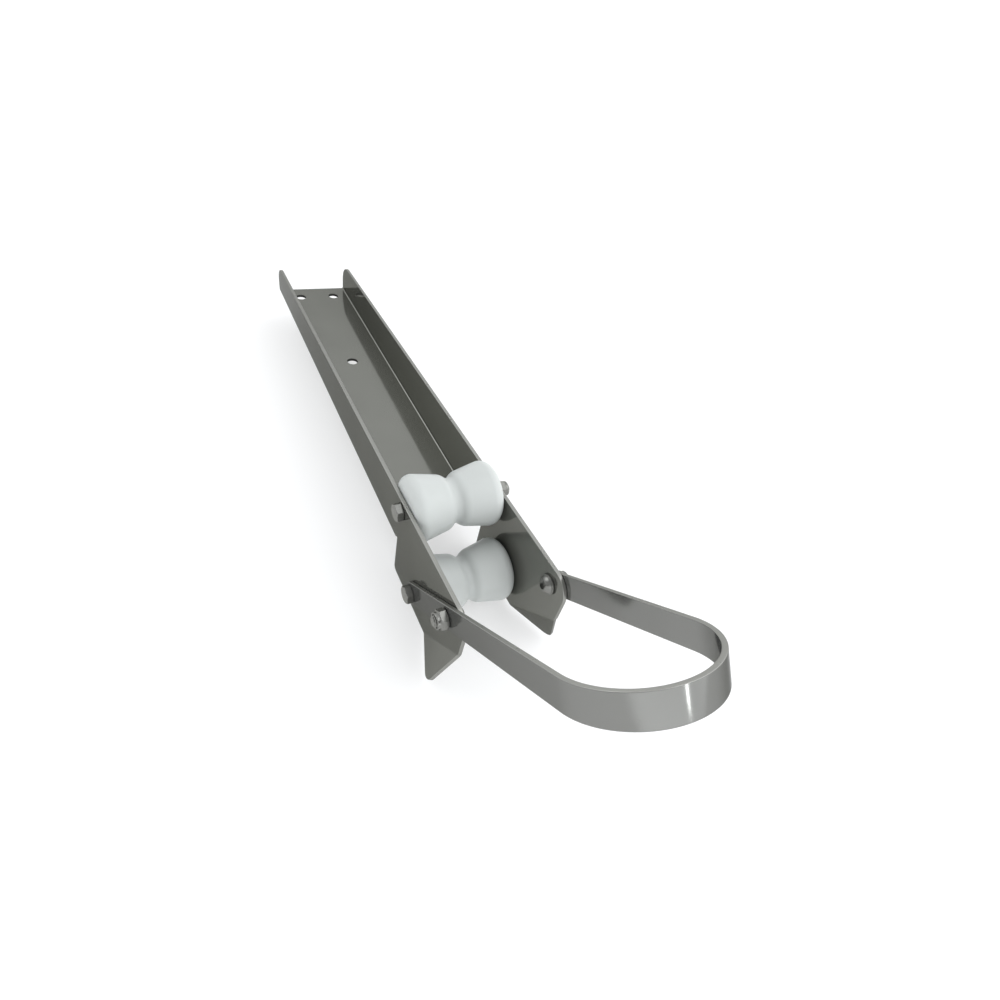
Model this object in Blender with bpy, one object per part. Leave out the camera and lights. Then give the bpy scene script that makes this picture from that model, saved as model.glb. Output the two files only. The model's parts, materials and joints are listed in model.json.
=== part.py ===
"""Bow roller: a folded stainless channel with two nylon rollers and a fixed retaining bail.

Metres, with +X towards the bow, +Y to port and +Z up. The origin lies on the underside of the
channel floor, midway between the two rear screw holes.
"""

import math

import bmesh
import bpy
from mathutils import Matrix, Vector

# Sheet of the channel, and the fit of one piece on another
SHEET = 0.003
INNER_BEND = 0.0015
NEUTRAL_LAYER = 0.44
SEAT_GAP = 0.0003

# Channel: floor, side walls that grow taller towards the bow, and cheeks that hang in front of the floor
CHANNEL_WIDTH = 0.080
FLOOR_LENGTH = 0.411
WALL_HEIGHT_REAR = 0.034
WALL_OVER_AXLE = 0.014
REAR_TOP_ROUND = 0.020
FRONT_TOP_ROUND = 0.016
RELIEF_WIDTH = 0.004
CHEEK_LENGTH = 0.115
CHEEK_DEPTH = 0.033
CHEEK_REAR_ROUND = 0.005
CHEEK_TIP_SETBACK = 0.005
CHEEK_TIP_ROUND = 0.010

# Lower front corner of each cheek, bent outwards along a slanting line to lead the anchor in
FLARE_SETBACK = 0.050
FLARE_RISE = 0.050
FLARE_TOP_ROUND = 0.012
FLARE_ANGLE = math.radians(30)
FLARE_INNER_BEND = 0.003

# Screw holes in the floor
SCREW_HOLE = 0.0105
SCREW_SETBACK = 0.020
SCREW_SPREAD = 0.039
CENTRE_SCREW_SETBACK = 0.165

# Rollers: the upper one just ahead of the floor's edge, the lower one ahead of and below it
UPPER_AXLE_AHEAD = 0.007
ROLLER_OVER_FLOOR = 0.0077
ROLLER_GAP = 0.0074
AXLE_SLOPE = math.radians(51.3)
ROLLER_SIDE_PLAY = 0.0005
ROLLER_RIM_RADIUS = 0.0283
ROLLER_RIM_ROUND = 0.008
ROLLER_SHOULDER_RADIUS = 0.0218
ROLLER_SHOULDER_ROUND = 0.003
ROLLER_GROOVE_RADIUS = 0.0160
ROLLER_GROOVE_HALF_WIDTH = 0.006
ROLLER_GROOVE_ROUND = 0.004
SLEEVE_RADIUS = 0.006
SLEEVE_RUNNING_GAP = 0.0004

# Bail: a flat bar round the front, bolted outside both walls
BAIL_ANGLE = math.radians(41)
BAIL_WIDTH = 0.018
BAIL_THICKNESS = 0.003
BAIL_BOLT_SETBACK = 0.0185
BAIL_STRAIGHT = 0.200

# M8 fasteners
BOLT_RADIUS = 0.004
HEX_ACROSS_FLATS = 0.013
HEX_HEAD_HEIGHT = 0.0053
HEX_TOP_RADIUS = 0.0062
HEX_CHAMFER_ANGLE = math.radians(30)
CHAMFER = 0.0008
WASHER_RADIUS = 0.008
WASHER_THICKNESS = 0.0016
NUT_HEX_HEIGHT = 0.0055
NUT_HEIGHT = 0.008
COLLAR_RADIUS = 0.0060
COLLAR_WALL = 0.0006
COLLAR_LIP = 0.0006
INSERT_HEIGHT = 0.0018
BOLT_END_PROUD = 0.0015
DOME_RADIUS = 0.007
DOME_HEIGHT = 0.0044
SOCKET_ACROSS_FLATS = 0.005
SOCKET_DEPTH = 0.0026

# Facets of curved surfaces
ARC_STEP = math.radians(15)
BEND_FACETS = 5
FLARE_FACETS = 3
BAIL_FACETS = 20
ROLLER_FACETS = 40
FASTENER_FACETS = 24
HOLE_FACETS = 24
DOME_RINGS = 6

# Points nearer than this are one, and edges sharper than this stay crisp
MERGE = 1e-6
CRISP_ANGLE = math.radians(35)

# Worked out from the above
OUTER_BEND = INNER_BEND + SHEET
HALF_WIDTH = CHANNEL_WIDTH / 2
HALF_INSIDE = HALF_WIDTH - SHEET
REAR_END = -SCREW_SETBACK
FLOOR_FRONT = REAR_END + FLOOR_LENGTH
CHEEK_REAR = FLOOR_FRONT + RELIEF_WIDTH
FRONT_END = CHEEK_REAR + CHEEK_LENGTH
BORE_RADIUS = BOLT_RADIUS + SEAT_GAP
HEX_CORNER = HEX_ACROSS_FLATS / math.sqrt(3)
HEX_CHAMFER = (HEX_CORNER - HEX_TOP_RADIUS) * math.tan(HEX_CHAMFER_ANGLE)
UPPER_AXLE_HEIGHT = SHEET + ROLLER_OVER_FLOOR + ROLLER_RIM_RADIUS
UPPER_AXLE = Vector((FLOOR_FRONT + UPPER_AXLE_AHEAD, 0, UPPER_AXLE_HEIGHT))
WALL_HEIGHT_FRONT = UPPER_AXLE_HEIGHT + WALL_OVER_AXLE
AXLE_SPACING = 2 * ROLLER_RIM_RADIUS + ROLLER_GAP
LOWER_AXLE = UPPER_AXLE + Vector((math.cos(AXLE_SLOPE), 0, -math.sin(AXLE_SLOPE))) * AXLE_SPACING
BAIL_DIRECTION = Vector((math.cos(BAIL_ANGLE), 0, math.sin(BAIL_ANGLE)))
BAIL_ACROSS = Vector((-math.sin(BAIL_ANGLE), 0, math.cos(BAIL_ANGLE)))
BAIL_BOLT = LOWER_AXLE + BAIL_DIRECTION * (FRONT_END - BAIL_BOLT_SETBACK - LOWER_AXLE.x) / BAIL_DIRECTION.x
BAIL_INSIDE = HALF_WIDTH + SEAT_GAP
BAIL_OUTSIDE = BAIL_INSIDE + BAIL_THICKNESS

# How far the flat blank's floor reaches from the centre line, and how much of the blank each bend takes up
FLOOR_HALF_FLAT = HALF_WIDTH - OUTER_BEND
BEND_RADIUS = INNER_BEND + NEUTRAL_LAYER * SHEET
BEND_LENGTH = BEND_RADIUS * math.pi / 2
FLARE_BEND_RADIUS = FLARE_INNER_BEND + NEUTRAL_LAYER * SHEET
FLARE_BEND_LENGTH = FLARE_BEND_RADIUS * FLARE_ANGLE
FLARE_START = Vector((FRONT_END - FLARE_SETBACK, -CHEEK_DEPTH))
FLARE_LINE = Vector((FLARE_SETBACK, FLARE_RISE)).normalized()
FLARE_OUTWARD = Vector((FLARE_LINE.y, -FLARE_LINE.x))


def clear_scene():
    for item in list(bpy.data.objects):
        bpy.data.objects.remove(item, do_unlink=True)


def material(name, colour, roughness, metallic):
    """A plain Principled finish."""
    finish = bpy.data.materials.new(name)
    finish.use_nodes = True
    shader = finish.node_tree.nodes["Principled BSDF"]
    shader.inputs["Base Color"].default_value = (*colour, 1)
    shader.inputs["Roughness"].default_value = roughness
    shader.inputs["Metallic"].default_value = metallic
    finish.diffuse_color = (*colour, 1)
    return finish


def rounded(corners):
    """The points of a closed outline from its corners (x, y, radius), each round corner as an arc."""
    points = []
    for index, (x, y, radius) in enumerate(corners):
        corner = Vector((x, y))
        if not radius:
            points.append(corner)
            continue
        before = (Vector(corners[index - 1][:2]) - corner).normalized()
        after = (Vector(corners[(index + 1) % len(corners)][:2]) - corner).normalized()
        half = before.angle(after) / 2
        centre = corner + (before + after).normalized() * radius / math.sin(half)
        start = corner + before * radius / math.tan(half) - centre
        turn = start.angle_signed(corner + after * radius / math.tan(half) - centre)
        steps = max(2, round(abs(turn) / ARC_STEP))
        for step in range(steps + 1):
            points.append(centre + Matrix.Rotation(-turn * step / steps, 2) @ start)
    return [point for index, point in enumerate(points) if (point - points[index - 1]).length > MERGE]


def slab(outline, depth):
    """A flat plate on z = 0 with this outline, as a bmesh."""
    plate = bmesh.new()
    face = plate.faces.new([plate.verts.new((point.x, point.y, 0)) for point in outline])
    raised = bmesh.ops.extrude_face_region(plate, geom=[face])["geom"]
    lifted = [item for item in raised if isinstance(item, bmesh.types.BMVert)]
    bmesh.ops.translate(plate, verts=lifted, vec=(0, 0, depth))
    bmesh.ops.recalc_face_normals(plate, faces=plate.faces)
    return plate


def crease(plate, point, normal):
    """Cuts a line of edges through a plate, so that it can bend there."""
    everything = plate.verts[:] + plate.edges[:] + plate.faces[:]
    bmesh.ops.bisect_plane(plate, geom=everything, plane_co=point, plane_no=normal, dist=MERGE)


def bend(plate, folded):
    """Moves each point of a flat plate to its place in the bent piece."""
    for vertex in plate.verts:
        vertex.co = folded(vertex.co)


def open_on_centre(plate):
    """Takes off the end faces on the centre plane, where the mirrored half is welded on."""
    ends = [face for face in plate.faces if all(abs(v.co.y) < MERGE for v in face.verts)]
    bmesh.ops.delete(plate, geom=ends, context="FACES")


def finished(name, mesh_data, finish):
    """A smooth-shaded object from a bmesh, with a material."""
    bmesh.ops.recalc_face_normals(mesh_data, faces=mesh_data.faces)
    mesh = bpy.data.meshes.new(name)
    mesh_data.to_mesh(mesh)
    mesh_data.free()
    mesh.shade_smooth()
    mesh.materials.append(finish)
    item = bpy.data.objects.new(name, mesh)
    bpy.context.scene.collection.objects.link(item)
    return item


def as_cutter(item):
    item.hide_render = True
    item.display_type = "WIRE"
    return item


def cut(item, cutter):
    modifier = item.modifiers.new(cutter.name, "BOOLEAN")
    modifier.operation = "DIFFERENCE"
    modifier.solver = "EXACT"
    modifier.object = cutter


def crisp(item):
    """Applies an object's cuts, marks its crisp edges and evens out the shading of its flat faces."""
    graph = bpy.context.evaluated_depsgraph_get()
    mesh = bpy.data.meshes.new_from_object(item.evaluated_get(graph))
    mesh.set_sharp_from_angle(angle=CRISP_ANGLE)
    item.modifiers.clear()
    item.data = mesh
    shading = item.modifiers.new("even_shading", "WEIGHTED_NORMAL")
    shading.keep_sharp = True


def mirrored(item):
    modifier = item.modifiers.new("other_side", "MIRROR")
    modifier.use_axis = (False, True, False)
    modifier.use_mirror_merge = True
    modifier.merge_threshold = MERGE


def turned(name, profile, finish, facets=FASTENER_FACETS):
    """A solid of revolution about its own Y axis from a closed profile of (y, radius)."""
    lathe = bmesh.new()
    points = [lathe.verts.new((radius, y, 0)) for y, radius in profile]
    edges = [lathe.edges.new((a, b)) for a, b in zip(points, points[1:] + points[:1])]
    on_axis = [edge for edge in edges if all(v.co.x < MERGE for v in edge.verts)]
    bmesh.ops.delete(lathe, geom=on_axis, context="EDGES")
    bmesh.ops.spin(
        lathe,
        geom=lathe.verts[:] + lathe.edges[:],
        axis=(0, 1, 0),
        cent=(0, 0, 0),
        angle=math.tau,
        steps=facets,
    )
    bmesh.ops.remove_doubles(lathe, verts=lathe.verts, dist=MERGE)
    return finished(name, lathe, finish)


def rod(shape, radius, start, end, facets=HOLE_FACETS):
    """Adds a plain cylinder between two points to a bmesh."""
    along = Vector(end) - Vector(start)
    made = bmesh.ops.create_cone(
        shape,
        cap_ends=True,
        segments=facets,
        radius1=radius,
        radius2=radius,
        depth=along.length,
    )
    turn = along.to_track_quat("Z", "Y").to_matrix()
    bmesh.ops.rotate(shape, verts=made["verts"], cent=(0, 0, 0), matrix=turn)
    bmesh.ops.translate(shape, verts=made["verts"], vec=(Vector(start) + Vector(end)) / 2)


def hexagon(across_flats):
    """The corners (x, z) of a hexagon that stands square with the bail."""
    radius = across_flats / math.sqrt(3)
    angles = [BAIL_ANGLE + k * math.pi / 3 for k in range(6)]
    return [(radius * math.cos(angle), radius * math.sin(angle)) for angle in angles]


def folded_channel(flat):
    """The place in the channel of a point of its blank: x along, y across, z up from the outer skin."""
    x, across, depth = flat
    past_bend = across - FLOOR_HALF_FLAT - BEND_LENGTH
    if x < FLOOR_FRONT + RELIEF_WIDTH / 2 and past_bend < 0:
        if across < FLOOR_HALF_FLAT:
            return Vector((x, across, depth))
        angle = (across - FLOOR_HALF_FLAT) / BEND_RADIUS
        radius = OUTER_BEND - depth
        return Vector((x, FLOOR_HALF_FLAT + radius * math.sin(angle), OUTER_BEND - radius * math.cos(angle)))
    height = OUTER_BEND + past_bend
    in_wall = Vector((x, height)) - FLARE_START
    past_flare = in_wall.dot(FLARE_OUTWARD)
    if past_flare <= 0:
        return Vector((x, HALF_WIDTH - depth, height))
    angle = min(past_flare / FLARE_BEND_RADIUS, FLARE_ANGLE)
    radius = FLARE_INNER_BEND + depth
    straight = max(0, past_flare - FLARE_BEND_LENGTH)
    drop = radius * math.sin(angle) + straight * math.cos(angle)
    spread = FLARE_INNER_BEND - radius * math.cos(angle) + straight * math.sin(angle)
    place = FLARE_START + FLARE_LINE * in_wall.dot(FLARE_LINE) + FLARE_OUTWARD * drop
    return Vector((place.x, HALF_WIDTH + spread, place.y))


def blank_at(height):
    """How far from the blank's centre line a point of the wall at this height lies."""
    return FLOOR_HALF_FLAT + BEND_LENGTH + height - OUTER_BEND


def channel_holes():
    """One cutter with every hole of the channel: floor screws, two axles and the bail bolts."""
    holes = bmesh.new()
    screws = [(0, SCREW_SPREAD / 2), (0, -SCREW_SPREAD / 2), (REAR_END + CENTRE_SCREW_SETBACK, 0)]
    for x, y in screws:
        rod(holes, SCREW_HOLE / 2, (x, y, -SHEET), (x, y, 2 * SHEET))
    for axis in (UPPER_AXLE, LOWER_AXLE, BAIL_BOLT):
        reach = Vector((0, CHANNEL_WIDTH, 0))
        rod(holes, BORE_RADIUS, axis - reach, axis + reach)
    return as_cutter(finished("channel_holes", holes, None))


def make_channel(steel):
    """Half of the flat blank, creased, folded, mirrored and then drilled."""
    relief_top = blank_at(OUTER_BEND) + RELIEF_WIDTH / 2
    half_relief = RELIEF_WIDTH / 2
    blank = slab(
        rounded(
            [
                (REAR_END, 0, 0),
                (FLOOR_FRONT, 0, 0),
                (FLOOR_FRONT, relief_top, half_relief),
                (CHEEK_REAR, relief_top, half_relief),
                (CHEEK_REAR, blank_at(-CHEEK_DEPTH), CHEEK_REAR_ROUND),
                (FRONT_END - CHEEK_TIP_SETBACK, blank_at(-CHEEK_DEPTH), CHEEK_TIP_ROUND),
                (FRONT_END, blank_at(FLARE_RISE - CHEEK_DEPTH), FLARE_TOP_ROUND),
                (FRONT_END, blank_at(WALL_HEIGHT_FRONT), FRONT_TOP_ROUND),
                (REAR_END, blank_at(WALL_HEIGHT_REAR), REAR_TOP_ROUND),
            ]
        ),
        SHEET,
    )
    for step in range(BEND_FACETS + 1):
        across = FLOOR_HALF_FLAT + BEND_LENGTH * step / BEND_FACETS
        crease(blank, (0, across, 0), (0, 1, 0))
    start = Vector((FLARE_START.x, blank_at(FLARE_START.y), 0))
    outward = Vector((FLARE_OUTWARD.x, FLARE_OUTWARD.y, 0))
    for step in range(FLARE_FACETS + 1):
        crease(blank, start + outward * FLARE_BEND_LENGTH * step / FLARE_FACETS, outward)
    bend(blank, folded_channel)
    open_on_centre(blank)
    channel = finished("channel", blank, steel)
    mirrored(channel)
    cut(channel, channel_holes())
    return channel


def folded_bail(flat):
    """The place in the bail of a point of its flat bar: x along, y across its width, z from the inner face."""
    along, width, depth = flat
    past_start = max(0, along - BAIL_STRAIGHT)
    angle = past_start / (BAIL_INSIDE + BAIL_THICKNESS / 2)
    radius = BAIL_INSIDE + depth
    reach = min(along, BAIL_STRAIGHT) + radius * math.sin(angle)
    place = LOWER_AXLE + BAIL_DIRECTION * reach + BAIL_ACROSS * width
    return Vector((place.x, radius * math.cos(angle), place.z))


def make_bail(steel):
    """Half of a flat bar with a round end, wrapped round the front and mirrored."""
    half = BAIL_WIDTH / 2
    quarter = (BAIL_INSIDE + BAIL_THICKNESS / 2) * math.pi / 2
    bar = slab(
        rounded(
            [
                (-half, -half, half),
                (BAIL_STRAIGHT + quarter, -half, 0),
                (BAIL_STRAIGHT + quarter, half, 0),
                (-half, half, half),
            ]
        ),
        BAIL_THICKNESS,
    )
    facets = BAIL_FACETS // 2
    for step in range(facets):
        crease(bar, (BAIL_STRAIGHT + quarter * step / facets, 0, 0), (1, 0, 0))
    bend(bar, folded_bail)
    open_on_centre(bar)
    bail = finished("bail", bar, steel)
    mirrored(bail)
    holes = bmesh.new()
    for axis in (LOWER_AXLE, BAIL_BOLT):
        reach = Vector((0, CHANNEL_WIDTH, 0))
        rod(holes, BORE_RADIUS, axis - reach, axis + reach)
    cut(bail, as_cutter(finished("bail_holes", holes, None)))
    return bail


def make_roller(name, axle, nylon):
    """An hourglass roller: two cones that fall towards a small round groove at the waist."""
    half = HALF_INSIDE - ROLLER_SIDE_PLAY
    bore = SLEEVE_RADIUS + SLEEVE_RUNNING_GAP
    profile = rounded(
        [
            (half, bore, 0),
            (half, ROLLER_RIM_RADIUS, ROLLER_RIM_ROUND),
            (ROLLER_GROOVE_HALF_WIDTH, ROLLER_SHOULDER_RADIUS, ROLLER_SHOULDER_ROUND),
            (0, ROLLER_GROOVE_RADIUS, ROLLER_GROOVE_ROUND),
            (-ROLLER_GROOVE_HALF_WIDTH, ROLLER_SHOULDER_RADIUS, ROLLER_SHOULDER_ROUND),
            (-half, ROLLER_RIM_RADIUS, ROLLER_RIM_ROUND),
            (-half, bore, 0),
        ]
    )
    roller = turned(name, profile, nylon, ROLLER_FACETS)
    roller.location = axle


def make_sleeve(name, axle, steel):
    """The spacer tube that the roller turns on, clamped between the walls."""
    half = HALF_INSIDE - SEAT_GAP
    profile = [(half, BORE_RADIUS), (half, SLEEVE_RADIUS), (-half, SLEEVE_RADIUS), (-half, BORE_RADIUS)]
    turned(name, profile, steel).location = axle


def make_washer(name, place, steel):
    """A plain washer whose inner face lies at its origin."""
    profile = [
        (0, BORE_RADIUS),
        (WASHER_THICKNESS, BORE_RADIUS),
        (WASHER_THICKNESS, WASHER_RADIUS),
        (0, WASHER_RADIUS),
    ]
    turned(name, profile, steel).location = place


def hex_frame(name, across_flats, low, high):
    """A cutter that leaves a hexagon: a thick ring with a six-sided window, round the Y axis."""
    frame = bmesh.new()
    rings = []
    for y in (low, high):
        for scale in (1, 2):
            rings.append([frame.verts.new((x, y, z)) for x, z in hexagon(across_flats * scale)])
    inner_low, outer_low, inner_high, outer_high = rings
    for a, b in ((inner_low, outer_low), (outer_low, outer_high), (outer_high, inner_high), (inner_high, inner_low)):
        for k in range(6):
            n = (k + 1) % 6
            frame.faces.new((a[k], a[n], b[n], b[k]))
    return as_cutter(finished(name, frame, None))


def make_hex_bolt(name, head_face, length, steel):
    """A hexagon bolt along +Y from the bearing face of its head, with a chamfered head and end."""
    profile = [
        (-HEX_HEAD_HEIGHT, 0),
        (-HEX_HEAD_HEIGHT, HEX_TOP_RADIUS),
        (-HEX_HEAD_HEIGHT + HEX_CHAMFER, HEX_CORNER),
        (0, HEX_CORNER),
        (0, BOLT_RADIUS),
        (length - CHAMFER, BOLT_RADIUS),
        (length, BOLT_RADIUS - CHAMFER),
        (length, 0),
    ]
    bolt = turned(name, profile, steel)
    bolt.location = head_face
    frame = hex_frame(name + "_flats", HEX_ACROSS_FLATS, -2 * HEX_HEAD_HEIGHT, SEAT_GAP / 2)
    frame.parent = bolt
    cut(bolt, frame)


def make_dome_bolt(name, head_face, side, length, steel):
    """A low domed bolt with a six-sided socket, its shank pointing outwards on this side (+1 or -1)."""
    sphere = (DOME_RADIUS**2 + DOME_HEIGHT**2) / (2 * DOME_HEIGHT)
    widest = math.asin(DOME_RADIUS / sphere)
    dome = [widest * step / DOME_RINGS for step in range(DOME_RINGS + 1)]
    profile = [(sphere - DOME_HEIGHT - sphere * math.cos(a), sphere * math.sin(a)) for a in dome]
    profile += [
        (0, BOLT_RADIUS),
        (length - CHAMFER, BOLT_RADIUS),
        (length, BOLT_RADIUS - CHAMFER),
        (length, 0),
    ]
    bolt = turned(name, [(side * y, radius) for y, radius in profile], steel)
    bolt.location = head_face
    socket = bmesh.new()
    floor_y = side * (SOCKET_DEPTH - DOME_HEIGHT)
    rings = []
    for y in (floor_y, -side * 2 * DOME_HEIGHT):
        rings.append([socket.verts.new((x, y, z)) for x, z in hexagon(SOCKET_ACROSS_FLATS)])
    for ring in rings:
        socket.faces.new(ring)
    for k in range(6):
        n = (k + 1) % 6
        socket.faces.new((rings[0][k], rings[0][n], rings[1][n], rings[1][k]))
    cutter = as_cutter(finished(name + "_socket", socket, None))
    cutter.parent = bolt
    cut(bolt, cutter)


def make_lock_nut(name, place, side, steel, nylon):
    """A hexagon nut with a round collar crimped over a nylon ring, facing outwards on this side."""
    pocket = COLLAR_RADIUS - COLLAR_WALL
    insert_start = NUT_HEIGHT - COLLAR_LIP - SEAT_GAP - INSERT_HEIGHT
    lip_radius = (BORE_RADIUS + pocket) / 2
    nut_profile = [
        (0, BORE_RADIUS),
        (0, HEX_TOP_RADIUS),
        (HEX_CHAMFER, HEX_CORNER),
        (NUT_HEX_HEIGHT - HEX_CHAMFER, HEX_CORNER),
        (NUT_HEX_HEIGHT, HEX_TOP_RADIUS),
        (NUT_HEX_HEIGHT, COLLAR_RADIUS),
        (NUT_HEIGHT - CHAMFER / 2, COLLAR_RADIUS),
        (NUT_HEIGHT, COLLAR_RADIUS - CHAMFER / 2),
        (NUT_HEIGHT, lip_radius),
        (NUT_HEIGHT - COLLAR_LIP, lip_radius),
        (NUT_HEIGHT - COLLAR_LIP, pocket),
        (insert_start - SEAT_GAP, pocket),
        (insert_start - SEAT_GAP, BORE_RADIUS),
    ]
    nut = turned(name, [(side * y, radius) for y, radius in nut_profile], steel)
    nut.location = place
    ends = sorted((-side * SHEET, side * NUT_HEX_HEIGHT))
    frame = hex_frame(name + "_flats", HEX_ACROSS_FLATS, *ends)
    frame.parent = nut
    cut(nut, frame)
    ring_end = insert_start + INSERT_HEIGHT
    ring_profile = [
        (insert_start, BORE_RADIUS),
        (insert_start, pocket - SEAT_GAP),
        (ring_end, pocket - SEAT_GAP),
        (ring_end, BORE_RADIUS),
    ]
    ring = turned(name + "_insert", [(side * y, radius) for y, radius in ring_profile], nylon)
    ring.location = place


def make_axle_set(name, axle, outer_face, steel, nylon):
    """A through bolt with its head to starboard, and a washer and lock nut to port."""
    head_face = axle - Vector((0, outer_face + SEAT_GAP, 0))
    washer_face = axle + Vector((0, outer_face + SEAT_GAP, 0))
    nut_face = washer_face + Vector((0, WASHER_THICKNESS + SEAT_GAP, 0))
    length = (nut_face - head_face).length + NUT_HEIGHT + BOLT_END_PROUD
    make_hex_bolt(name + "_axle_bolt", head_face, length, steel)
    make_washer(name + "_axle_washer", washer_face, steel)
    make_lock_nut(name + "_axle_nut", nut_face, 1, steel, nylon)


def make_bail_bolt_set(name, side, steel, nylon):
    """A short domed bolt through one wall and the bail, washer and head inside, lock nut outside."""
    outward = Vector((0, side, 0))
    washer_face = BAIL_BOLT + outward * (HALF_INSIDE - SEAT_GAP)
    head_face = washer_face - outward * (WASHER_THICKNESS + SEAT_GAP)
    nut_face = BAIL_BOLT + outward * (BAIL_OUTSIDE + SEAT_GAP)
    length = (nut_face - head_face).length + NUT_HEIGHT + BOLT_END_PROUD
    make_dome_bolt(name + "_bail_bolt", head_face, side, length, steel)
    low_face = washer_face if side < 0 else washer_face - outward * WASHER_THICKNESS
    make_washer(name + "_bail_washer", low_face, steel)
    make_lock_nut(name + "_bail_nut", nut_face, side, steel, nylon)


def build():
    clear_scene()
    steel = material("polished_stainless", (0.42, 0.42, 0.40), 0.16, 1.0)
    bar_steel = material("bail_stainless", (0.50, 0.50, 0.49), 0.20, 1.0)
    fastener_steel = material("fastener_stainless", (0.55, 0.55, 0.53), 0.28, 1.0)
    roller_nylon = material("roller_nylon", (0.83, 0.85, 0.84), 0.42, 0.0)
    insert_nylon = material("insert_nylon", (0.78, 0.80, 0.80), 0.5, 0.0)

    make_channel(steel)
    make_bail(bar_steel)
    for name, axle, outer_face in (
        ("upper", UPPER_AXLE, HALF_WIDTH),
        ("lower", LOWER_AXLE, BAIL_OUTSIDE),
    ):
        make_roller(name + "_roller", axle, roller_nylon)
        make_sleeve(name + "_sleeve", axle, fastener_steel)
        make_axle_set(name, axle, outer_face, fastener_steel, insert_nylon)
    for name, side in (("starboard", -1), ("port", 1)):
        make_bail_bolt_set(name, side, fastener_steel, insert_nylon)
    for item in bpy.context.scene.objects:
        if not item.hide_render:
            crisp(item)


build()
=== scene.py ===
"""Looks of a bow roller: polished stainless sheet, a bent flat bar, white nylon and M8 fasteners.

The file is laid out as an add-on. Its properties hold the sizes and finishes, each piece or group of
like pieces has an operator, and a panel in the sidebar lists them. Run as a script, it makes the whole
object once, round the solids that it loads. Metres, +X towards the bow, +Y to port, +Z up.
"""

import json
import math

import bmesh
import bpy
from bpy.props import FloatProperty, FloatVectorProperty, PointerProperty
from mathutils import Matrix, Vector


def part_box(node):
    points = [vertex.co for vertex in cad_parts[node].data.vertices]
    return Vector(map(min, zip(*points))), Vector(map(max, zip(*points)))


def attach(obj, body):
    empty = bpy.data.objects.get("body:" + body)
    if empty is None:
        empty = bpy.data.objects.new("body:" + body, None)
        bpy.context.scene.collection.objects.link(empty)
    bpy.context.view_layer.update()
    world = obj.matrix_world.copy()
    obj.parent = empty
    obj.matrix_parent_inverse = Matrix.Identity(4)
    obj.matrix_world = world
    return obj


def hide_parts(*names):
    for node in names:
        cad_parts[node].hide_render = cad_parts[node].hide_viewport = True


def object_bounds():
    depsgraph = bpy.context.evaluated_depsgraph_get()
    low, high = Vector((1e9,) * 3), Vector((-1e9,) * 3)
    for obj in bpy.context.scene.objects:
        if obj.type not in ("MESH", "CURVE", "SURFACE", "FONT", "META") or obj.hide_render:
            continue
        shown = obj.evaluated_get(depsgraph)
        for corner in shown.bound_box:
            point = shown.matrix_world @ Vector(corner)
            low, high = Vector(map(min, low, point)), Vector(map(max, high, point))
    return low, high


bl_info = {
    "name": "Bow Roller",
    "version": (1, 0, 0),
    "blender": (4, 5, 0),
    "location": "View3D > Sidebar > Bow Roller",
    "description": "Builds a folded stainless bow roller with nylon rollers and a retaining bail",
    "category": "Object",
}

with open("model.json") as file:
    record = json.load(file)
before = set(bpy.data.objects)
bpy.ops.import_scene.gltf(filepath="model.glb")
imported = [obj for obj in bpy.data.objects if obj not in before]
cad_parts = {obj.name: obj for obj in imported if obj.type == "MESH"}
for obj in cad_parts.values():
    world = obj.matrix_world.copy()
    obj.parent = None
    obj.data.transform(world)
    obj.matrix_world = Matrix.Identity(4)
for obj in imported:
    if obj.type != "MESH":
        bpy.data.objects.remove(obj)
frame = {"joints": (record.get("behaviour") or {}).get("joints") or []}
SOLID_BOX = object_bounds()

# Read from the frame: the joints and the solids' boxes
AXLES = {joint["child"]: Vector(joint["pos_m"]) for joint in frame["joints"]}
UPPER_AXLE = AXLES["upper_roller"]
LOWER_AXLE = AXLES["lower_roller"]
REAR_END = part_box("channel")[0].x
WALL_FRONT_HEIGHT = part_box("channel")[1].z
CHEEK_DEPTH = -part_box("channel")[0].z
BAIL_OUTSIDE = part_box("bail")[1].y
ROLLER_HALF_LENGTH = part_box("upper_roller")[1].y
BAIL_BOLT = sum((Vector(corner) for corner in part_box("port_bail_bolt")), Vector()) / 2

# Meshes. Points within MERGE are one, and edges are sharp from CRISP_ANGLE on. On a plate, faces that aren't
# NEARLY_LEVEL get finish 1, and drilled faces get finish 2. The rest says how finely each form is divided.
MERGE = 1e-7
CRISP_ANGLE = math.radians(35)
NEARLY_LEVEL = math.cos(math.radians(20))
EDGE_FACES, BORE_FACES = 1, 2
ARC_STEP = math.radians(6)
EDGE_SEGMENTS = 3
BEND_FACETS = 12
FLARE_FACETS = 6
WRAP_FACETS = 72
HOLE_FACETS = 64
FASTENER_COLUMNS = 96
ROLLER_COLUMNS = 180
CHAMFER_ROWS = 6
THREAD_ROWS = 8
DOME_ROWS = 14
WASHER_EDGE_ROWS = 4
COLLAR_ROWS = 5

# Folds and fasteners. NEUTRAL_LAYER is how deep in the sheet its length stays the same in a bend, as a share
# of its thickness. In a thread, steeper flanks leave a wider root, and a larger crest cut a wider crest.
NEUTRAL_LAYER = 0.44
CHAMFER_SLOPE = math.tan(math.radians(30))
FLANK_STEEPNESS = 1.35
CREST_CUT = 0.25

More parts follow.
